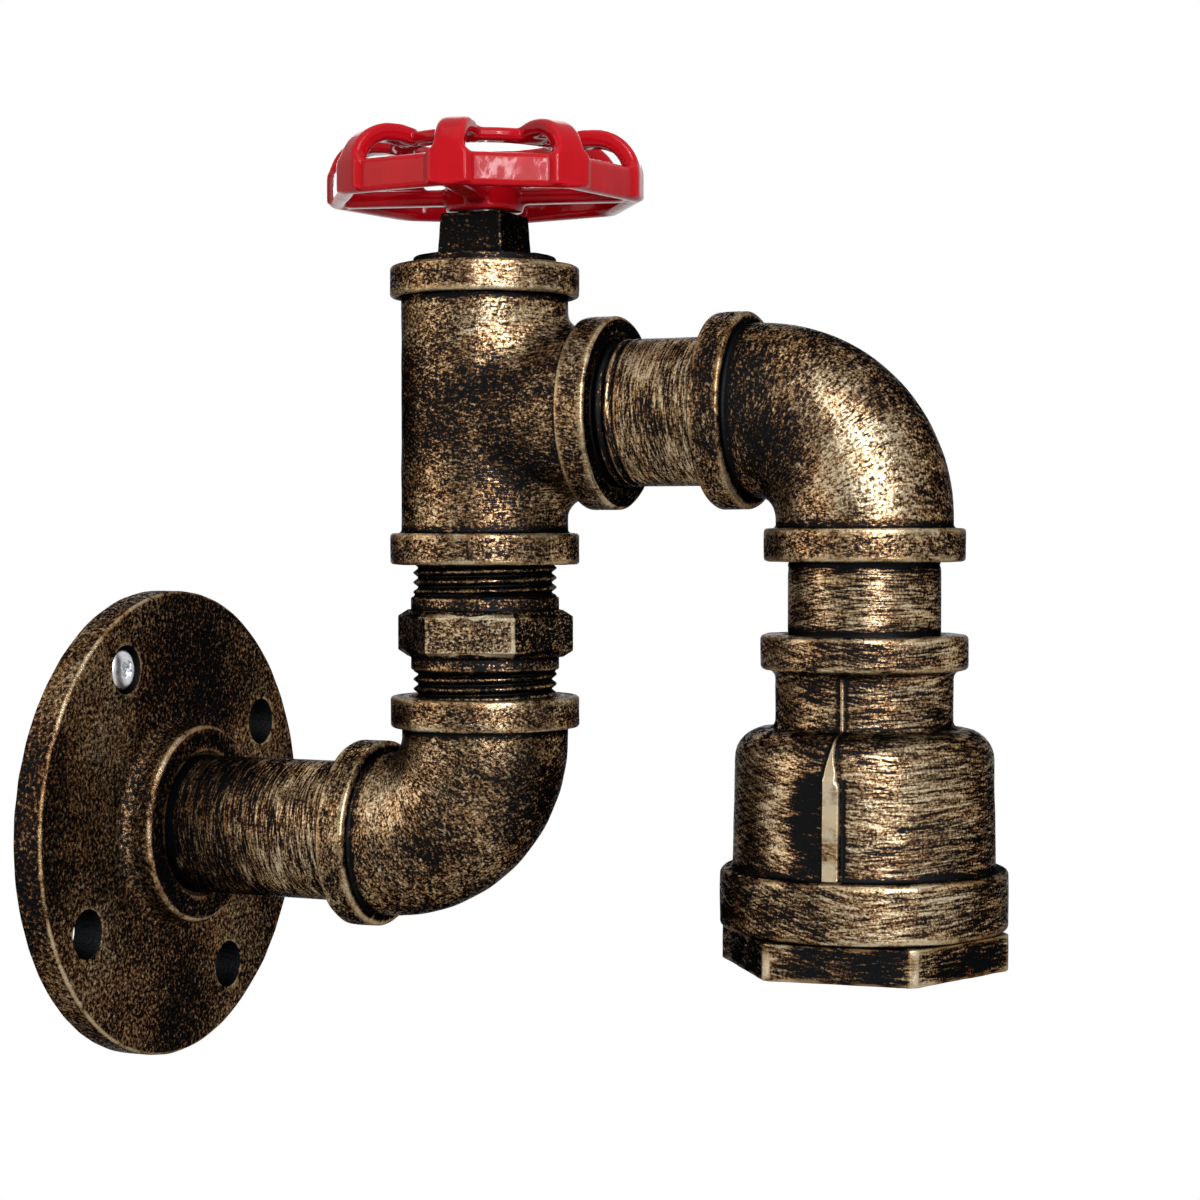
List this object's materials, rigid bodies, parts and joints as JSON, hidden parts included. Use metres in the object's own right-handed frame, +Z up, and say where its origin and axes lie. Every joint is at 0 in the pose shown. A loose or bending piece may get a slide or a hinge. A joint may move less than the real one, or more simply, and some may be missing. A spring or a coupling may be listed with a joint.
{
  "type": "pipe wall light",
  "caption": "Wall light built from threaded pipe fittings on a round flange, with a red handwheel that turns its switch and a lampholder hanging in a bell reducer.",
  "frame": {"origin": "centre of the flange's wall face", "axes": "+X leaves the wall along the lower pipe, +Z up, +Y to the right of someone who faces the wall"},
  "size_m": [0.1741, 0.092, 0.178],
  "materials": {
    "flange_bronze": "dark brown cast iron with a sparse copper dry brush",
    "cast_bronze": "black cast iron with a mottled copper dry brush",
    "pipe_bronze": "black paint with copper brush strokes round the pipe",
    "bell_bronze": "black cast iron with copper brush strokes round it",
    "black_iron": "black cast iron with a few copper flecks",
    "red_enamel": "glossy red enamel",
    "zinc": "bright zinc plate",
    "brass": "plain brass",
    "porcelain": "white glaze",
    "moulded_black": "moulded black",
    "moulded_brown": "moulded brown",
    "lead_brown": "brown insulation",
    "lead_black": "black insulation",
    "lead_blue": "blue insulation"
  },
  "bodies": {
    "fittings": {"wall_flange": "flange_bronze", "wall_nipple": "pipe_bronze", "lower_elbow": "cast_bronze", "hex_nipple": "cast_bronze", "tee": "cast_bronze", "arm_nipple": "pipe_bronze", "upper_elbow": "cast_bronze", "drop_nipple": "pipe_bronze", "bell_reducer": "bell_bronze", "lamp_ring": "bell_bronze", "lampholder_body": "porcelain", "lampholder_shell": "brass", "live_terminal": "brass", "neutral_terminal": "brass", "terminal_screws": "zinc", "top_plug": "black_iron", "switch_body": "moulded_black", "switch_base": "moulded_brown", "switch_terminals": "brass", "live_lead": "lead_brown", "switched_lead": "lead_black", "neutral_lead": "lead_blue"},
    "wheel": {"handwheel": "red_enamel", "wheel_washer": "zinc", "wheel_nut": "zinc", "switch_spindle": "zinc", "switch_rotor": "moulded_brown"},
    "contact": {"centre_contact": "brass"}
  },
  "joints": [
    {"name": "handwheel_turn", "type": "hinge", "parent": "fittings", "child": "wheel", "pos_m": [0.074, 0, 0.1173], "axis": [0, 0, 1], "continuous": true},
    {"name": "contact_press", "type": "hinge", "parent": "fittings", "child": "contact", "pos_m": [0.1484, -0.007, 0.00825], "axis": [1, 0, 0], "range_deg": [0, 10], "stiffness_Nm_per_rad": 0.4}
  ]
}
